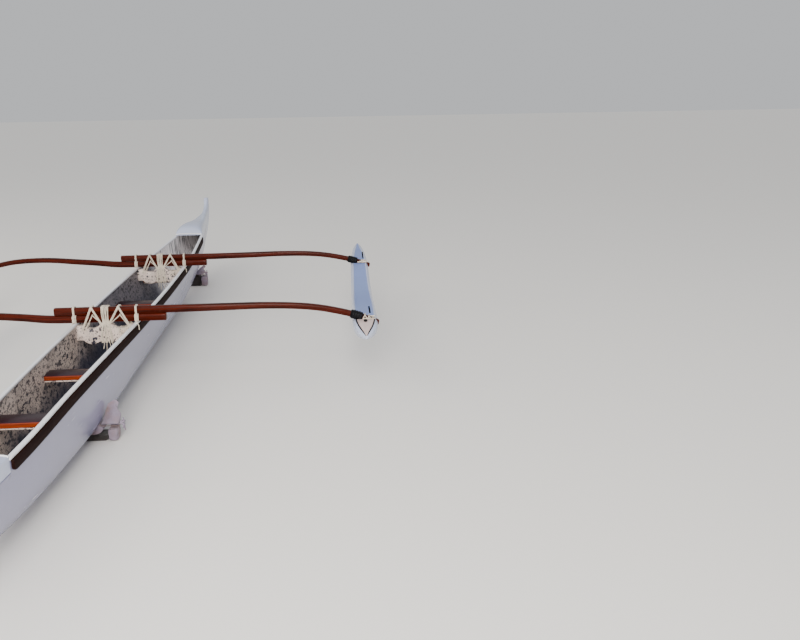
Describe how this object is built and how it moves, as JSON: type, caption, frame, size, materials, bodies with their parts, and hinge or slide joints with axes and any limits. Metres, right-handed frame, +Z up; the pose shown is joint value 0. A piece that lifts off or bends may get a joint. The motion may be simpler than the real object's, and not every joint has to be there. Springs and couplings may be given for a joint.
{
  "type": "outrigger canoe",
  "caption": "Double-outrigger paddling canoe: long narrow open hull with decked upswept ends, seat planks, lashed wooden crossbeams and a float each side, on padded ground stands.",
  "frame": {"origin": "middle of the outline's base, on the ground under the stands", "axes": "+X to the bow, +Y to port, +Z up"},
  "size_m": [9.7194, 3.8582, 0.881],
  "materials": {
    "gelcoat": "gloss gelcoat, white to pale blue-grey, lightly soiled",
    "edge": "gloss white",
    "strip": "dark stained, satin",
    "varnish": "gloss red-brown varnish",
    "speckled": "cream with dark flecks, satin",
    "rubber": "matt black",
    "cord": "cream laid cord",
    "cloth": "pinkish white, soiled"
  },
  "bodies": {
    "root": {"ama_plug_port": "rubber", "ama_plug_starboard": "rubber", "ama_port": "gelcoat", "ama_starboard": "gelcoat", "bow_ama_lashing_port": "cord", "bow_ama_lashing_starboard": "cord", "bow_crossbeam_port": "varnish", "bow_crossbeam_starboard": "varnish", "bow_deck": "gelcoat", "bow_lashing_centre": "cord", "bow_lashing_port": "cord", "bow_lashing_starboard": "cord", "bow_manu": "gelcoat", "bow_spreader": "speckled", "bow_stand_bolster": "cloth", "bow_stand_pad_port": "cloth", "bow_stand_pad_starboard": "cloth", "bow_stand_wedge_port": "cloth", "bow_stand_wedge_starboard": "cloth", "bow_wrap_port": "rubber", "bow_wrap_starboard": "rubber", "gunwale_port_aft": "edge", "gunwale_port_fore": "edge", "gunwale_port_mid": "edge", "gunwale_starboard_aft": "edge", "gunwale_starboard_fore": "edge", "gunwale_starboard_mid": "edge", "hull": "gelcoat", "rub_strip_port": "strip", "rub_strip_starboard": "strip", "seat_1": "varnish", "seat_1_bearer": "speckled", "seat_2": "varnish", "seat_2_bearer": "speckled", "seat_3": "varnish", "seat_3_bearer": "speckled", "seat_4": "varnish", "seat_4_bearer": "speckled", "seat_5": "varnish", "seat_5_bearer": "speckled", "stern_ama_lashing_port": "cord", "stern_ama_lashing_starboard": "cord", "stern_crossbeam_port": "varnish", "stern_crossbeam_starboard": "varnish", "stern_deck": "gelcoat", "stern_lashing_centre": "cord", "stern_lashing_port": "cord", "stern_lashing_starboard": "cord", "stern_manu": "gelcoat", "stern_spreader": "speckled", "stern_stand_bolster": "cloth", "stern_stand_pad_port": "cloth", "stern_stand_pad_starboard": "cloth", "stern_stand_wedge_port": "cloth", "stern_stand_wedge_starboard": "cloth", "stern_wrap_port": "rubber", "stern_wrap_starboard": "rubber"}
  },
  "joints": []
}
